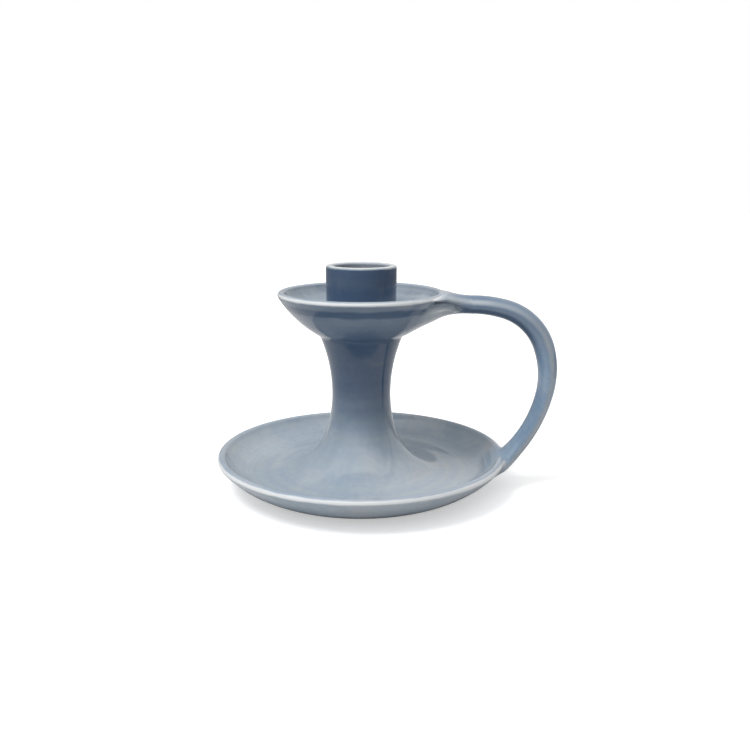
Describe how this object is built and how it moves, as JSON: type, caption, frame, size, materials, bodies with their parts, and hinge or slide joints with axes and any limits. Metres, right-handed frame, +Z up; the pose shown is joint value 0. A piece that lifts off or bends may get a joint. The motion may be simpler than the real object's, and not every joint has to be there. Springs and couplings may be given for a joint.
{
  "type": "chamberstick",
  "caption": "Glazed ceramic chamberstick: candle socket in a drip pan on a waisted stem, over a saucer, with a strap handle looping from pan to rim.",
  "frame": {"origin": "on the table, at the centre of the foot ring, on the axis of the stem and the candle socket", "axes": "+Z up along the candle socket, +X from the stem towards the handle"},
  "size_m": [0.1409, 0.1206, 0.093],
  "materials": {
    "blue_glaze": "glossy pale blue-grey glaze that thins to whitish clay on the rims",
    "bare_clay": "unglazed pale stoneware, fine and matt"
  },
  "bodies": {
    "root": {"saucer": "blue_glaze", "foot_ring": "bare_clay", "stem": "blue_glaze", "drip_pan": "blue_glaze", "socket_floor": "blue_glaze", "candle_socket": "blue_glaze", "handle_loop": "blue_glaze", "upper_handle_root": "blue_glaze", "lower_handle_root": "blue_glaze"}
  },
  "joints": []
}
